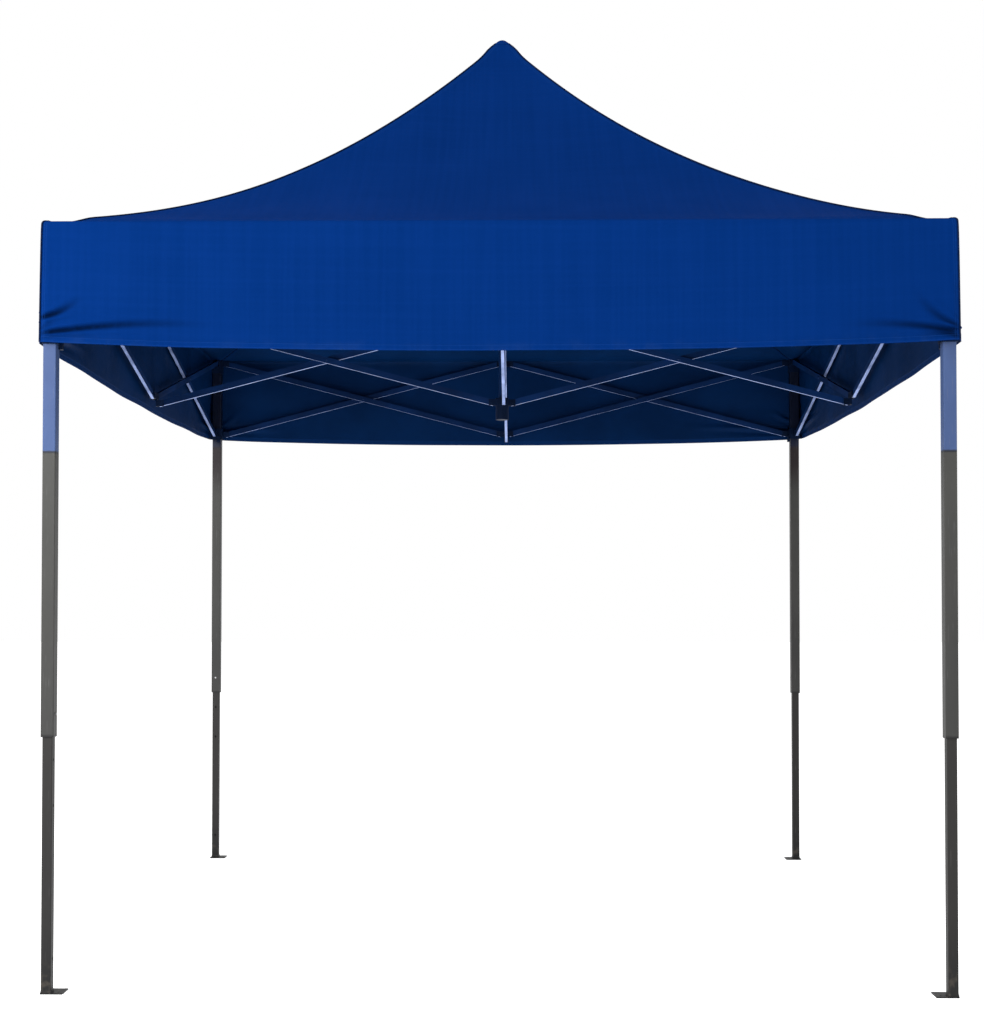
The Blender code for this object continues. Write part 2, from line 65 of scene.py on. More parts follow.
# Places taken from the frame. Widths are half widths, out from the middle.
EAVE = -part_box("canopy_roof_front")[0].y
SEAM = -JOINTS["roof_fold_front"]["pos_m"][1]  # where the valance is sewn to the roof
EAVE_Z = JOINTS["roof_fold_front"]["pos_m"][2]
HEM, HEM_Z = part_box("canopy_valance")[1].x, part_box("canopy_valance")[0].z
LEG_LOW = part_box("upper_leg_fl")[0].z

# Cloth
CLOTH = 0.0012  # thickness
WEAVE, STITCH, TWIST = 0.0013, 0.0042, 0.004  # pitch of the yarns, the stitches and the piping's yarn
FAR = 0.5  # a distance that is out of reach of every seam's stitches
PIPING, CORNER_PIPING = 0.0034, 0.0030  # radius of the cords in the hips and the corners
HIP_STAND, CORNER_STAND = 0.0008, 0.0004  # how far the piping stands proud: metres, and a share
PIPING_TUCK = 0.004  # how far the hips' piping runs in under the patch

# Roof
RISE, STRAIGHT = 1.126, 0.345  # the hips' climb to the peak, and how much of it is a straight slope
SAG = 0.030  # of a panel's middle
TENT_RISE, TENT = 0.0556, 0.102  # the cap lifts the cloth into a steeper tip inside this
NOSE = 0.051  # the cap rounds the peak off inside this
ROUND_PLAN, SQUARE_PLAN = 0.022, 0.062  # round over the cap, square further out
ROOF_TIP, PATCH_RADIUS = 0.016, 0.040  # the opening at the peak, and the patch over it
PATCH_SLOPE = 1.25  # length down the patch for each metre out
LEVEL_EAVE = 0.120  # the roof leaves its seam level, and joins its slope within this
EAVE_DIP, DIP_IN, DIP_OUT = 0.0018, 0.010, 0.070  # depth, and where it deepens and fades
SIDE_PULL = 0.016  # the cover is pulled a little to one side
RIPPLE, SLACK = 0.0016, 0.0022  # height of the narrow waves and of the broad soft spots
PANEL_GAP = 0.0002  # the share of its width that a panel gives up, to keep off its neighbours
TO_HIP = math.cos(math.radians(38))  # distance from the hip, for a distance along a row

# Valance
WALL_TOP = EAVE + CLOTH / 4
ROUND_CORNER, ROUND_MIDDLE, ROUND_POWER = 0.015, 0.045, 2.6  # how far down the eave's rounding reaches
HEM_SAG, HEM_BAND = 0.032, 0.020
HEM_FOLD = 0.0006  # how far the doubled hem stands proud
WALL_WAVE = 0.0026
WALL_GAP = 0.0001
CORNER_FADE = 0.016  # folds die out within this share of the half width from a corner
CORNER_BULGE = 0.0065  # keeps the creases clear of the sliders and legs
FULL_SHADE_DEPTH = 0.008  # a crease this deep gets the full painted shade in its valley

# Sewing: distances of the rows of stitches from the side seams and from the hem
OUTER_ROWS, INNER_ROWS = (0.008, 0.015), (0.008,)
HEM_ROWS = (0.0035, HEM_BAND - 0.0025)

# Legs: heights where the paint's colour changes, and where the rear legs' painted shade deepens
COLOUR_CHANGE, SHADE_FROM = 1.773, 2.020

# The sockets that a Mix node uses for colours
MIX_SHARE, MIX_FIRST, MIX_SECOND, MIX_RESULT = 0, 6, 7, 2

# --- sheets of cloth -----------------------------------------------------------------------------------


def smooth(value):
    """A smooth step from 0 to 1."""
    share = np.clip(value, 0, 1)
    return share * share * (3 - 2 * share)


def turned(points, number):
    """Points of the front side, turned to another side."""
    cos, sin = QUARTERS[number]
    x, y, z = points[..., 0], points[..., 1], points[..., 2]
    return np.stack([cos * x - sin * y, sin * x + cos * y, z], -1)


def add_object(name, mesh, materials):
    for material in materials:
        mesh.materials.append(material)
    mesh.shade_smooth()
    made = bpy.data.objects.new(name, mesh)
    bpy.context.scene.collection.objects.link(made)
    return made


def grid(name, points, facts, materials, closed=False):
    """A sheet through rows of points. Each fact is a number for each point, which the materials read.

    across and down run with the yarns. to_side and to_hem are distances from the sewn edges. The creases'
    painted shade is 1 at the bottom of a deep crease, and run is the length along a cord.
    """
    rows, columns = points.shape[:2]
    spot = np.arange(rows * columns).reshape(rows, columns)
    if closed:
        spot = np.concatenate([spot, spot[:, :1]], 1)
    quads = np.stack([spot[:-1, :-1], spot[:-1, 1:], spot[1:, 1:], spot[1:, :-1]], -1)
    mesh = bpy.data.meshes.new(name)
    mesh.from_pydata(points.reshape(-1, 3).tolist(), [], quads.reshape(-1, 4).tolist())
    for fact, values in facts.items():
        layer = mesh.attributes.new(fact, "FLOAT", "POINT")
        layer.data.foreach_set("value", np.asarray(values, np.float32).ravel())
    return add_object(name, mesh, materials)


def thicken(piece):
    """Gives a sheet its thickness, with its second material on the inside."""
    solid = piece.modifiers.new("cloth", "SOLIDIFY")
    solid.thickness = CLOTH
    solid.offset = -1
    solid.material_offset = 1
    solid.use_quality_normals = True


def lengths(line):
    """The length along a line, from its start to each of its points."""
    return np.concatenate([[0], np.cumsum(np.linalg.norm(np.diff(line, axis=0), axis=1))])


def tube(name, line, radius, material, sides=8):
    """A cord along a line of points."""
    ahead = np.gradient(line, axis=0)
    ahead /= np.linalg.norm(ahead, axis=1)[:, None]
    never_ahead = (0.31, 0.17, 0.94)  # a direction that no cord here runs in
    across = np.cross(ahead, never_ahead)
    across /= np.linalg.norm(across, axis=1)[:, None]
    other = np.cross(ahead, across)
    turn = np.arange(sides) * 2 * math.pi / sides
    ring = np.cos(turn)[None, :, None] * across[:, None] + np.sin(turn)[None, :, None] * other[:, None]
    points = line[:, None] + ring * radius
    facts = {"run": np.repeat(lengths(line)[:, None], sides, 1)}
    return grid(name, points, facts, [material], closed=True)


# --- the roof ------------------------------------------------------------------------------------------


def hip_height(half):
    """Height of the roof where its outline has this half width."""
    out = np.maximum(half, NOSE)
    climb, tent = 1 - out / EAVE, np.maximum(1 - out / TENT, 0)
    height = EAVE_Z + RISE * (STRAIGHT * climb + (1 - STRAIGHT) * climb**2) + TENT_RISE * tent**2
    slope = RISE * (STRAIGHT + 2 * (1 - STRAIGHT) * (1 - NOSE / EAVE)) / EAVE
    slope += 2 * TENT_RISE / TENT * (1 - NOSE / TENT)
    inside = np.maximum(NOSE - half, 0)
    return height + slope * (inside - inside**2 / (2 * NOSE))


def roof_plan(half, share):
    """x and y on the front panel: round over the cap, and square further out."""
    square = smooth((half - ROUND_PLAN) / (SQUARE_PLAN - ROUND_PLAN))
    turn = share * math.pi / 4
    x = half * (np.sin(turn) * (1 - square) + share * square)
    y = half * (np.cos(turn) * (1 - square) + square)
    return x, -y


def roof_points(half, share):
    """Points on the front panel: half is the half width of their row, and share runs from -1 to 1 along it.

    The panel leaves its seam level, so that it clears the brackets as it folds.
    """
    climb = 1 - half / EAVE
    sag = SAG * 4 * climb * np.maximum(half - NOSE, 0) / EAVE * (1 - share**2)
    inward = SEAM - half
    drop = (hip_height(half) - EAVE_Z) * (1 - smooth(inward / LEVEL_EAVE))
    drop += EAVE_DIP * smooth(inward / DIP_IN) * (1 - smooth((inward - DIP_IN) / DIP_OUT))
    x, y = roof_plan(half, share)
    return np.stack([x, y, hip_height(half) - sag - drop], -1)


def side_pull(points, half):
    """Raises the right of the roof and lowers its left, between the cap and the eaves."""
    fade, cap_end, eave_end = 0.60, 0.10, 1.42
    pull = smooth((half - cap_end) / fade) * smooth((eave_end - half) / fade)
    points[..., 2] += SIDE_PULL * points[..., 0] / EAVE * pull
    return points


def roof_ripple(points, half, share, number):
    """Slight waves across the panel.

    They leave the panel still at its seam, around the cap and along its hips.
    """
    still = smooth((SEAM - half) / 0.25) * smooth((half - 0.12) / 0.3) * (1 - share**2) ** 0.5
    along = points[..., 0]
    wave = np.sin(2 * math.pi * along / 0.37 + number + 1.7 * half)
    wave = 0.6 * wave + 0.4 * np.sin(2 * math.pi * along / 0.61 - 2.3 * half + 2 * number)
    pull = np.sin(7.3 * share + 0.8 * number) * np.sin(5.1 * half + number)
    return still * (RIPPLE * wave + SLACK * pull)


def roof_panel(number, outer, inner):
    """One sewn panel of the roof cloth, from the seam at the eave up to the cap."""
    level = np.linspace(SEAM, SEAM - LEVEL_EAVE, 22)[:-1]
    slope = np.linspace(SEAM - LEVEL_EAVE, 0.20, 46)
    tip = np.linspace(0.19, ROOF_TIP, 30)
    half, share = np.meshgrid(np.concatenate([level, slope, tip]), np.linspace(-1, 1, 97), indexing="ij")
    points = roof_points(half, share)
    points[..., 2] += roof_ripple(points, half, share, number)
    points[..., 0] *= 1 - PANEL_GAP
    columns = share.shape[1]
    down = np.repeat(lengths(points[:, columns // 2])[:, None], columns, 1)
    facts = {
        "across": points[..., 0],
        "down": down,
        "to_side": half * (1 - abs(share)) * TO_HIP,
        "to_hem": down + FAR,
        "hollow": np.zeros_like(half),
    }
    points = side_pull(turned(points, number), half)
    piece = grid(f"roof_cloth_{SIDES[number]}", points, facts, [outer, inner])
    thicken(piece)
    return piece


def hip_piping(number, material):
    """The piping sewn into a panel's left hip."""
    half = np.linspace(SEAM, PATCH_RADIUS - PIPING_TUCK, 120)
    line = roof_points(half, np.full_like(half, -1.0))
    line[:, 2] += HIP_STAND
    return tube(f"hip_piping_{SIDES[number]}", side_pull(turned(line, number), half), PIPING, material)


def peak_patch(outer, inner):
    """The reinforcing patch sewn over the peak, where the cap bears on the cloth."""
    half = np.concatenate([np.linspace(PATCH_RADIUS, 0.004, 19), [0.0006]])
    half, share = np.meshgrid(half, np.linspace(-1, 1, 19)[:-1], indexing="ij")
    quarter = roof_points(half, share) + (0, 0, 2 * CLOTH)
    points = np.concatenate([turned(quarter, number) for number in range(4)], 1)
    half = np.tile(half, (1, 4))
    facts = {
        "across": points[..., 0],
        "down": points[..., 1],
        "to_side": np.full_like(half, FAR),
        "to_hem": (PATCH_RADIUS - half) * PATCH_SLOPE,
        "hollow": np.zeros_like(half),
    }
    piece = grid("peak_patch", points, facts, [outer, inner], closed=True)
    thicken(piece)
    return piece


# --- the valance ---------------------------------------------------------------------------------------


def crease_shape(x, height, crease):
    """A valley with a swelling on each side, along a bent line in the plane of the valance.

    It is sharp near its start at the corner, and grows wider and shallower along its length.
    """
    (x0, h0), (x1, h1), bend, width, depth = crease
    steps = np.linspace(0, 1, 80)
    normal = np.array([h0 - h1, x1 - x0])
    line_x = x0 + (x1 - x0) * steps + bend * normal[0] * 4 * steps * (1 - steps)
    line_h = h0 + (h1 - h0) * steps + bend * normal[1] * 4 * steps * (1 - steps)
    gaps = np.hypot(x[..., None] - line_x, height[..., None] - line_h)
    gap, at = gaps.min(-1), steps[gaps.argmin(-1)]
    taper = smooth(0.4 + at / 0.12) * smooth((1 - at) / 0.95)
    spread = width * (0.75 + 0.8 * at)
    valley = np.exp(-((gap / spread) ** 2))
    swell = 0.5 * np.exp(-(((gap - 2.1 * spread) / (1.1 * spread)) ** 2))
    # the second value is the painted shade in the valley, which grows with the crease's depth
    return depth * taper * (swell - valley), taper * valley * depth / FULL_SHADE_DEPTH


def mirrored(creases):
    return [((-a[0], a[1]), (-b[0], b[1]), -bend, width, depth) for a, b, bend, width, depth in creases]


def corner_creases(number):
    """Tension creases that spread from the two lower corners, where the cloth is strapped to the legs.

    Each has its start and end as x and height above the hem, its bend, its width and its depth. The right
    corner's are written as they would be at the left, and mirrored.
    """
    edge = HEM - 0.002
    left = [
        ((-edge, 0.080), (-edge + 0.150, 0.170), -0.08, 0.0085, 0.0100),
        ((-edge, 0.028), (-edge + 0.620, 0.076), 0.03, 0.0090, 0.0100),
        ((-edge, 0.044), (-edge + 0.070, 0.110), -0.10, 0.0100, 0.0030),
        ((-edge, 0.012), (-edge + 0.240, 0.020), 0.05, 0.0080, 0.0030),
    ]
    right = [
        ((-edge, 0.046), (-edge + 0.150, 0.190), -0.10, 0.0100, 0.0065),
        ((-edge, 0.024), (-edge + 0.400, 0.060), 0.05, 0.0095, 0.0085),
        ((-edge, 0.014), (-edge + 0.150, 0.022), 0.06, 0.0110, 0.0080),
        ((-edge, 0.034), (-edge + 0.110, 0.080), -0.10, 0.0080, 0.0070),
    ]
    if number % 2:
        left, right = right, left
    return left + mirrored(right)


def valance_folds(x, height, fall, number):
    """How far the wall stands out from its smooth shape, and how much painted shade each crease's valley
    gets.

    The wall hangs in long waves that grow towards the hem, and bulges a little at its lower corners.
    """
    hang = fall**1.5 * smooth((1.47 - abs(x)) / 0.25)
    wave = np.sin(2 * math.pi * x / 0.83 + 1.3 * number + 0.4)
    wave += 0.5 * np.sin(2 * math.pi * x / 0.47 + number)
    bulge = CORNER_BULGE * smooth((abs(x) - 0.95) / 0.30) * smooth((0.26 - height) / 0.10)
    total, hollow = hang * WALL_WAVE * wave + bulge, np.zeros_like(x)
    for crease in corner_creases(number):
        out, deep = crease_shape(x, height, crease)
        total, hollow = total + out, np.maximum(hollow, deep)
    return total, hollow


def wall_falls():
    """The wall's rows, from 0 at the eave to 1 at the hem. They lie closer where the wall is creased."""
    plain = np.linspace(0, 0.50, 17)[1:]
    creased = np.linspace(0.508, 0.945, 60)
    hem = np.array([0.9515, 0.9545, 0.958, 0.97, 0.985, 0.996, 1.0])
    return np.concatenate([plain, creased, hem])


def valance_side(number, outer, inner):
    """The cloth wall of one side, from the roof's seam over the rounded eave to the hem."""
    step = np.linspace(-1, 1, 201)
    share = np.sign(step) * (1 - (1 - abs(step)) ** 1.5)
    rounding = ROUND_CORNER + (ROUND_MIDDLE - ROUND_CORNER) * (1 - share**2) ** 1.6
    bottom = HEM_Z - HEM_SAG * (1 - share**2) ** 0.8
    power = 2 / ROUND_POWER
    rows, heights, drops = [], [], []
    for angle in np.linspace(0, math.pi / 2, 10):
        depth = SEAM + (WALL_TOP - SEAM) * math.sin(angle) ** power
        rows.append(np.full_like(share, depth))
        heights.append(EAVE_Z - rounding * (1 - math.cos(angle) ** power))
        drops.append(np.zeros_like(share))
    for fall in wall_falls():
        rows.append(np.full_like(share, WALL_TOP + (HEM - WALL_TOP) * fall**0.6))
        heights.append(EAVE_Z - rounding - (EAVE_Z - rounding - bottom) * fall)
        drops.append(np.full_like(share, fall))
    depth, height, fall = (np.array(values)[::-1] for values in (rows, heights, drops))
    x = depth * share * (1 - WALL_GAP)
    above = height - bottom
    out, hollow = valance_folds(x, above, fall, number)
    out = out * smooth((1 - abs(share)) / CORNER_FADE)
    out += HEM_FOLD * smooth((HEM_BAND - above) / 0.0015)
    points = np.stack([x, -depth - out, height], -1)
    facts = {
        "across": x,
        "down": above,
        "to_side": depth * (1 - abs(share)),
        "to_hem": above,
        "hollow": np.clip(hollow, 0, 1),
    }
    piece = grid(f"valance_cloth_{SIDES[number]}", turned(points, number), facts, [outer, inner])
    thicken(piece)
    return piece, points[:, 0]


def corner_piping(number, edge, material):
    """The bound seam down a side's left corner."""
    line = edge.copy()
    line[:, :2] *= 1 + CORNER_STAND
    return tube(f"corner_piping_{SIDES[number]}", turned(line, number), CORNER_PIPING, material)


# --- materials -----------------------------------------------------------------------------------------


def linear(value):
    return value / 12.92 if value <= 0.04045 else ((value + 0.055) / 1.055) ** 2.4


def colour(red, green, blue):
    """A colour from the numbers 0 to 255 that a screen uses."""
    return (linear(red / 255), linear(green / 255), linear(blue / 255), 1)


class Shade:
    """A material's node tree, with short ways to add the nodes that these materials share."""

    def __init__(self, name, roughness, metallic=0.0, specular=0.5):
        self.material = bpy.data.materials.new(name)
        self.material.use_nodes = True
        self.tree = self.material.node_tree
        self.shader = self.tree.nodes["Principled BSDF"]
        self.set("Roughness", roughness)
        self.set("Metallic", metallic)
        self.set("Specular IOR Level", specular)
        self.place = self.tree.nodes.new("ShaderNodeTexCoord").outputs["Object"]

    def feed(self, socket, value):
        if isinstance(value, bpy.types.NodeSocket):
            self.tree.links.new(value, socket)
        else:
            socket.default_value = value

    def set(self, name, value):
        self.feed(self.shader.inputs[name], value)

    def fact(self, name):
        node = self.tree.nodes.new("ShaderNodeAttribute")
        node.attribute_name = name
        return node.outputs["Fac"]

    def split(self, vector):
        node = self.tree.nodes.new("ShaderNodeSeparateXYZ")
        self.feed(node.inputs[0], vector)
        return node.outputs

    def join(self, x, y, z=0.0):
        node = self.tree.nodes.new("ShaderNodeCombineXYZ")
        for socket, value in zip(node.inputs, (x, y, z)):
            self.feed(socket, value)
        return node.outputs[0]

    def math(self, operation, *values):
        node = self.tree.nodes.new("ShaderNodeMath")
        node.operation = operation
        for socket, value in zip(node.inputs, values):
            self.feed(socket, value)
        return node.outputs[0]

    def times(self, first, second):
        return self.math("MULTIPLY", first, second)

    def gap(self, first, second):
        """The distance between two values."""
        return self.math("ABSOLUTE", self.math("SUBTRACT", first, second))

    def sine(self, length, pitch):
        """A wave from -1 to 1 that repeats once in each pitch."""
        return self.math("SINE", self.times(length, 2 * math.pi / pitch))

    def total(self, *values):
        found = values[0]
        for value in values[1:]:
            found = self.math("ADD", found, value)
        return found

    def ramp(self, value, low, high, start=0.0, end=1.0):
        """value between low and high, as a smooth share from start to end."""
        node = self.tree.nodes.new("ShaderNodeMapRange")
        node.interpolation_type = "SMOOTHSTEP"
        for socket, given in zip(node.inputs[:5], (value, low, high, start, end)):
            self.feed(socket, given)
        return node.outputs[0]

    def noise(self, scale, detail=2.0, stretch=(1, 1, 1), place=None):
        mapping = self.tree.nodes.new("ShaderNodeMapping")
        self.feed(mapping.inputs["Vector"], place or self.place)
        mapping.inputs["Scale"].default_value = stretch
        node = self.tree.nodes.new("ShaderNodeTexNoise")
        self.feed(node.inputs["Vector"], mapping.outputs[0])
        node.inputs["Scale"].default_value = scale
        node.inputs["Detail"].default_value = detail
        return node.outputs["Fac"]

    def mix(self, share, first, second):
        """Two colours mixed: share is how much there is of the second."""
        node = self.tree.nodes.new("ShaderNodeMix")
        node.data_type = "RGBA"
        self.feed(node.inputs[MIX_SHARE], share)
        self.feed(node.inputs[MIX_FIRST], first)
        self.feed(node.inputs[MIX_SECOND], second)
        return node.outputs[MIX_RESULT]

    def bump(self, height, distance, strength, under=None):
        node = self.tree.nodes.new("ShaderNodeBump")
        self.feed(node.inputs["Height"], height)
        node.inputs["Distance"].default_value = distance
        node.inputs["Strength"].default_value = strength
        if under:
            self.feed(node.inputs["Normal"], under)
        return node.outputs[0]


def weave(shade):
    """The height of a plain weave, from 0 to 1, in the cloth's own directions."""
    across, down = shade.sine(shade.fact("across"), WEAVE), shade.sine(shade.fact("down"), WEAVE)
    return shade.math("MULTIPLY_ADD", shade.times(across, down), 0.5, 0.5)


def stitches(shade, from_edge, at, run):
    """A row of stitches at a distance from an edge."""
    line = shade.ramp(shade.gap(from_edge, at), 0.0004, 0.0010, 1.0, 0.0)
    return shade.times(line, shade.ramp(shade.sine(run, STITCH), -0.75, -0.35))


def sewing(shade, side_rows):
    """The rows of stitches beside the side seams and above the hem."""
    across, down = shade.fact("across"), shade.fact("down")
    to_side, to_hem = shade.fact("to_side"), shade.fact("to_hem")
    rows = [stitches(shade, to_side, at, down) for at in side_rows]
    rows += [stitches(shade, to_hem, at, across) for at in HEM_ROWS]
    return shade.total(*rows)


def cloth_material(name, base, deep, tone):
    """The blue polyester of the cover: weave, yarn streaks, sewn seams with puckers, painted shade in the
    creases' valleys, and a dusty hem.
    """
    shade = Shade(name, 0.78, specular=0.004)
    to_side, to_hem = shade.fact("to_side"), shade.fact("to_hem")
    plane = shade.join(shade.fact("across"), shade.fact("down"))
    threads = weave(shade)
    mottled = shade.noise(2.2, 3.0)
    streaks = shade.noise(60.0, 2.0, (1, 0.02, 1), plane)
    cross_streaks = shade.noise(60.0, 2.0, (0.02, 1, 1), plane)
    look = shade.mix(shade.ramp(mottled, 0.3, 0.7, 0.0, 0.55), colour(*base), colour(*deep))
    look = shade.mix(shade.ramp(streaks, 0.35, 0.7, 0.0, 0.16), look, colour(*tone))
    look = shade.mix(shade.ramp(cross_streaks, 0.4, 0.7, 0.0, 0.10), look, colour(*tone))
    between_threads = shade.times(shade.math("SUBTRACT", 1.0, threads), 0.30)
    look = shade.mix(between_threads, look, colour(2, 18, 52))
    # painted shade darkens the creases' valleys
    look = shade.mix(shade.times(shade.fact("hollow"), 0.85), look, colour(1, 7, 24))
    sewn = shade.math("MINIMUM", sewing(shade, OUTER_ROWS), 1.0)
    look = shade.mix(shade.times(sewn, 0.6), look, colour(16, 48, 104))
    fold_line = shade.ramp(shade.gap(to_hem, HEM_BAND), 0.0, 0.0016, 0.2, 0.0)
    look = shade.mix(fold_line, look, colour(2, 18, 50))
    near_hem = shade.ramp(to_hem, 0.0, 0.05, 0.10, 0.0)
    dust = shade.times(shade.ramp(shade.noise(14.0, 4.0), 0.45, 0.75), near_hem)
    look = shade.mix(dust, look, colour(34, 56, 92))
    shade.set("Base Color", look)
    shade.set("Roughness", shade.ramp(mottled, 0.3, 0.7, 0.72, 0.84))
    near_seam = shade.ramp(shade.math("MINIMUM", to_side, to_hem), 0.006, 0.045, 1.0, 0.0)
    normal = shade.bump(shade.noise(9.0, 3.0), 0.0025, 0.35)
    normal = shade.bump(shade.times(shade.noise(55.0, 2.0), near_seam), 0.0030, 0.6, normal)
    thread_height = shade.math("ADD", threads, shade.times(sewn, 2.0))
    shade.set("Normal", shade.bump(thread_height, 0.00022, 0.6, normal))
    shade.set("Sheen Weight", 0.012)
    shade.set("Sheen Roughness", 0.5)
    shade.set("Sheen Tint", colour(30, 90, 220))
    return shade.material


def coating_material():
    """The dark waterproof coating on the cloth's inside, with taped seams."""
    shade = Shade("canopy_inside", 0.55, specular=0.03)
    mottled = shade.noise(3.5, 4.0)
    look = shade.mix(shade.ramp(mottled, 0.3, 0.7), colour(1, 27, 62), colour(2, 33, 73))
    side_tape = shade.ramp(shade.fact("to_side"), 0.018, 0.020, 1.0, 0.0)
    hem_tape = shade.ramp(shade.fact("to_hem"), 0.019, 0.021, 1.0, 0.0)
    tape = shade.math("MAXIMUM", side_tape, hem_tape)
    look = shade.mix(shade.times(tape, 0.5), look, colour(5, 38, 84))
    sewn = shade.math("MINIMUM", sewing(shade, INNER_ROWS), 0.5)
    look = shade.mix(sewn, look, colour(12, 48, 104))
    shade.set("Base Color", look)
    shade.set("Roughness", shade.ramp(mottled, 0.3, 0.7, 0.48, 0.62))
    normal = shade.bump(shade.noise(16.0, 4.0), 0.003, 0.5)
    shade.set("Normal", shade.bump(weave(shade), 0.00012, 0.35, normal))
    return shade.material


def piping_material():
    """A tight dark cord of twisted yarn."""
    shade = Shade("piping", 0.7, specular=0.03)
    twist = shade.sine(shade.fact("run"), TWIST)
    look = shade.mix(shade.ramp(twist, -1.0, 1.0), colour(2, 10, 30), colour(5, 18, 46))
    look = shade.mix(shade.ramp(shade.noise(30.0), 0.4, 0.7, 0.0, 0.4), look, colour(8, 28, 64))
    shade.set("Base Color", look)
    shade.set("Normal", shade.bump(twist, 0.0003, 0.7))
    return shade.material


def paint(shade, look, wear_and_underside_light):
    """Powder coat over steel: fine orange peel, soft smears, and fine scratches in the worn colour."""
    smear = shade.noise(7.0, 4.0, (1, 1, 0.25))
    look = shade.mix(shade.ramp(smear, 0.35, 0.7, 0.0, 0.22), look, colour(8, 10, 14))
    scratch = shade.ramp(shade.noise(420.0, 1.0, (1, 1, 0.03)), 0.70, 0.76, 0.0, 0.35)
    look = shade.mix(scratch, look, colour(*wear_and_underside_light))
    shade.set("Base Color", look)
    orange_peel = shade.bump(shade.noise(900.0, 2.0), 0.00025, 0.35)
    shade.set("Normal", shade.bump(shade.noise(45.0, 2.0), 0.0004, 0.2, orange_peel))
    return shade.material


def truss_material():
    """Navy powder coat, with a painted highlight: the faces that look down are painted a paler blue, as if
    lit from the floor.
    """
    shade = Shade("truss_coat", 0.45, specular=0.05)
    normal = shade.tree.nodes.new("ShaderNodeTexCoord").outputs["Normal"]
    # painted highlight: faces that look down are painted pale blue, as if lit from the floor, broken up by
    # noise
    down = shade.ramp(shade.split(normal)[2], -0.75, -0.30, 1.0, 0.0)
    wear_and_underside_light = shade.times(down, shade.ramp(shade.noise(11.0, 3.0), 0.3, 0.6, 0.55, 0.95))
    look = shade.mix(shade.ramp(shade.noise(4.0), 0.3, 0.7), colour(7, 30, 66), colour(11, 40, 84))
    look = shade.mix(wear_and_underside_light, look, colour(146, 164, 212))
    return paint(shade, look, (14, 30, 62))


def upper_leg_material(name, front):
    """Grey powder coat with a dark rim. High up, the front legs are pale blue, and the rear ones carry
    painted shade from the cover.
    """
    shade = Shade(name, 0.45, specular=0.15)
    wander = shade.times(shade.math("SUBTRACT", shade.noise(60.0), 0.5), 0.003)
    height = shade.math("ADD", shade.split(shade.place)[2], wander)
    look = shade.mix(shade.ramp(height, LEG_LOW, COLOUR_CHANGE), colour(44, 44, 43), colour(50, 50, 48))
    if front:
        blue = shade.mix(shade.ramp(shade.noise(5.0), 0.3, 0.7), colour(44, 60, 95), colour(50, 67, 103))
        look = shade.mix(shade.ramp(height, COLOUR_CHANGE - 0.001, COLOUR_CHANGE + 0.001), look, blue)
        dark_line = shade.ramp(shade.gap(height, COLOUR_CHANGE), 0.002, 0.006, 0.85, 0.0)
        look = shade.mix(dark_line, look, colour(22, 24, 30))
    else:
        # painted shade from the cover: high up, the rear legs turn brown-black and then navy
        look = shade.mix(shade.ramp(height, COLOUR_CHANGE + 0.05, SHADE_FROM), look, colour(25, 17, 19))
        look = shade.mix(shade.ramp(height, SHADE_FROM + 0.06, SHADE_FROM + 0.08), look, colour(7, 16, 38))
    rim = shade.ramp(height, LEG_LOW + 0.002, LEG_LOW + 0.012, 0.8, 0.0)
    look = shade.mix(rim, look, colour(18, 18, 19))
    return paint(shade, look, (84, 84, 86))


def lower_leg_material():
    """Dark grey tube that is nearly black at the foot, with dried mud near the ground."""
    shade = Shade("lower_leg_coat", 0.50, specular=0.15)
    height = shade.split(shade.place)[2]
    look = shade.mix(shade.ramp(height, 0.0, 0.30), colour(20, 20, 20), colour(31, 30, 29))
    look = shade.mix(shade.ramp(height, 0.004, 0.012, 0.7, 0.0), look, colour(14, 14, 15))
    near_ground = shade.ramp(height, 0.01, 0.14, 0.45, 0.0)
    mud = shade.times(shade.ramp(shade.noise(40.0, 5.0), 0.5, 0.68), near_ground)
    look = shade.mix(mud, look, colour(72, 66, 58))
    return paint(shade, look, (70, 69, 68))


def plastic_material():
    """Moulded nylon: a fine grain, faint flow marks and scuffed high spots."""
    shade = Shade("moulded_nylon", 0.55, specular=0.05)
    flow = shade.noise(18.0, 4.0, (1, 1, 0.3))
    look = shade.mix(shade.ramp(flow, 0.3, 0.7), colour(5, 17, 38), colour(9, 25, 52))
    scuffed = shade.ramp(shade.noise(160.0, 3.0), 0.64, 0.72, 0.0, 0.3)
    look = shade.mix(scuffed, look, colour(34, 44, 68))
    shade.set("Base Color", look)
    shade.set("Roughness", shade.ramp(flow, 0.3, 0.7, 0.42, 0.58))
    normal = shade.bump(shade.noise(1400.0), 0.00015, 0.4)
    shade.set("Normal", shade.bump(flow, 0.0006, 0.25, normal))
    return shade.material


def metal_material():
    """Plated steel with a brushed grain and fine pits."""
    shade = Shade("plated_steel", 0.32, metallic=1.0)
    grain = shade.noise(700.0, 2.0, (1, 1, 0.05))
    look = shade.mix(shade.ramp(grain, 0.3, 0.7), colour(128, 128, 130), colour(176, 176, 178))
    pits = shade.ramp(shade.noise(300.0, 3.0), 0.62, 0.70, 0.0, 0.6)
    look = shade.mix(pits, look, colour(84, 78, 70))
    shade.set("Base Color", look)
    shade.set("Normal", shade.bump(grain, 0.0001, 0.4))
    return shade.material


def repaint():
    """Puts the detailed materials on the CAD nodes that stay in view, by a part of their names."""
    truss, plastic = truss_material(), plastic_material()
    coats = {
        "upper_leg_f": upper_leg_material("front_leg_coat", True),
        "upper_leg_b": upper_leg_material("rear_leg_coat", False),
        "lower_leg": lower_leg_material(),
        "snap_button": metal_material(),
        "bar": truss,
        "centre_pole": truss,
    }
    for name, node in frame["nodes"].items():
        if name.startswith("canopy"):
            continue
        coat = next((found for word, found in coats.items() if word in name), plastic)
        for place in node.material_slots:
            place.material = coat


# --- the cover, put together ---------------------------------------------------------------------------


def follow(piece, body):
    """Rides on a body, with a mesh of its own."""
    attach(piece, body)
    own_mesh(piece)


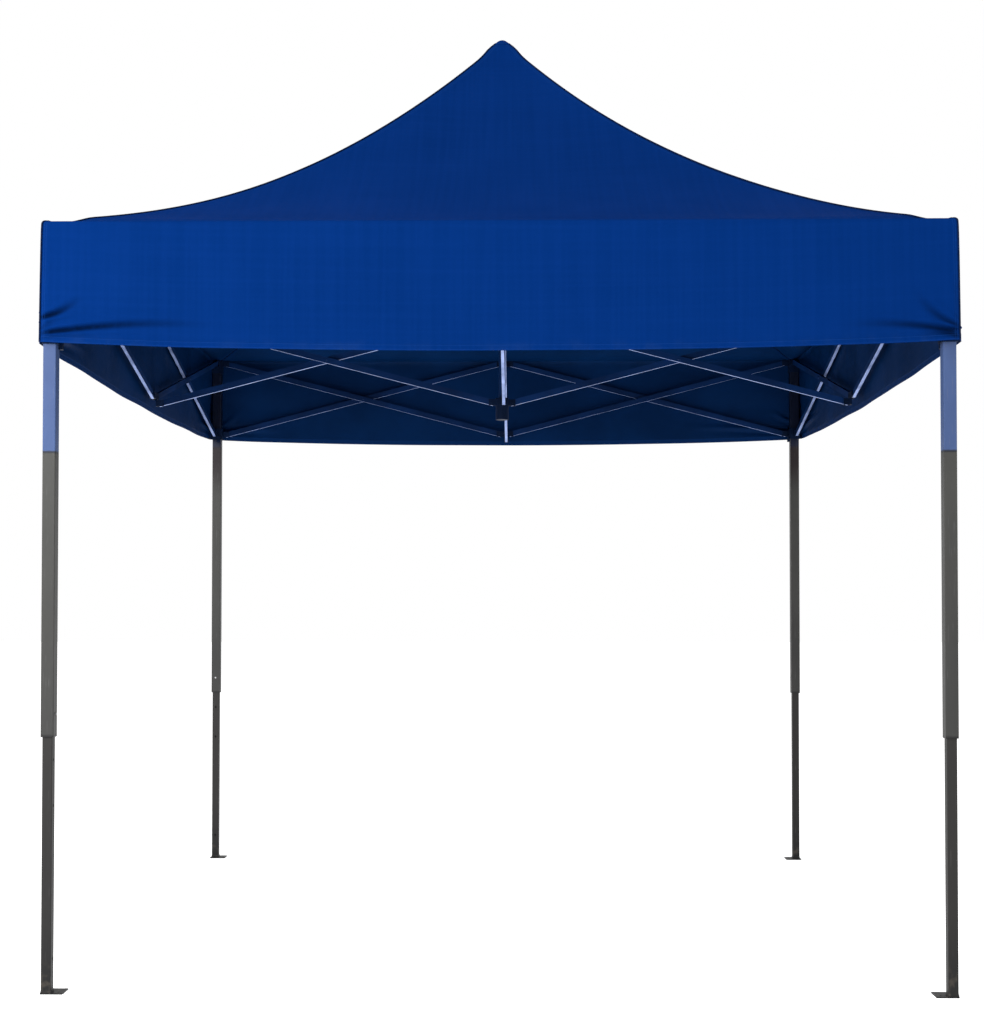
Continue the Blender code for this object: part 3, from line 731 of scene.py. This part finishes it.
def cover():
    """The roof's panels, the valance, their piping and the patch on the peak."""
    blue = cloth_material("canopy_outside", (1, 31, 84), (1, 28, 77), (6, 39, 99))
    inside, cord = coating_material(), piping_material()
    for number, side in enumerate(SIDES):
        roof = roof_panel(number, blue, inside)
        hip = hip_piping(number, cord)
        for piece in (roof, hip):
            follow(piece, f"roof_{side}")
        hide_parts(f"canopy_roof_{side}")
        wall, edge = valance_side(number, blue, inside)
        corner = corner_piping(number, edge, cord)
        for piece in (wall, corner):
            follow(piece, f"middle_upper_{side}")
        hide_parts("canopy_valance")
    patch = peak_patch(blue, inside)
    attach(patch, "hub_lower")


# --- studio --------------------------------------------------------------------------------------------


def floor():
    """A wide pale floor, which glows a little so that it meets the background without an edge."""
    reach = 60.0
    points = np.array([[[-reach, -reach, 0], [reach, -reach, 0]], [[-reach, reach, 0], [reach, reach, 0]]])
    shade = Shade("studio_floor", 0.9, specular=0.1)
    shade.set("Base Color", shade.mix(shade.noise(0.6), (0.80, 0.80, 0.80, 1), (0.83, 0.83, 0.83, 1)))
    shade.set("Emission Color", (1, 1, 1, 1))
    shade.set("Emission Strength", 0.45)
    grid("studio_floor", points, {}, [shade.material])


def area_light(name, place, aim, size, power):
    light = bpy.data.lights.new(name, "AREA")
    light.shape = "SQUARE"
    light.size = size
    light.energy = power
    made = bpy.data.objects.new(name, light)
    bpy.context.scene.collection.objects.link(made)
    made.location = place
    made.rotation_euler = (Vector(aim) - Vector(place)).to_track_quat("-Z", "Y").to_euler()


def studio():
    """A white surround, a key light from the left, a fill from the right and a light from above."""
    world = bpy.data.worlds.new("studio")
    bpy.context.scene.world = world
    world.use_nodes = True
    background = world.node_tree.nodes["Background"]
    background.inputs["Color"].default_value = (1, 1, 1, 1)
    background.inputs["Strength"].default_value = 1.0
    area_light("key", (-5.0, -5.5, 3.2), (-1.5, -1.5, 2.2), 2.5, 640)
    area_light("fill", (6.0, -6.0, 3.0), (1.5, -1.5, 2.0), 3.0, 220)
    area_light("top", (-2.0, -6.0, 7.0), (0, -0.8, 3.0), 3.0, 240)
    bpy.context.scene.view_settings.view_transform = "Standard"


def camera():
    """The photograph's viewpoint, found from the legs, feet and valance."""
    data = bpy.data.cameras.new("camera")
    data.sensor_width = 36.0
    data.lens = 56.73
    data.shift_y = 0.0602
    data.clip_end = 200
    made = bpy.data.objects.new("camera", data)
    bpy.context.scene.collection.objects.link(made)
    made.location = (0.0652, -6.7630, 1.2482)
    made.rotation_euler = (math.radians(91.36), math.radians(-0.02), math.radians(0.911))
    bpy.context.scene.camera = made


camera()
cover()
repaint()
floor()
studio()
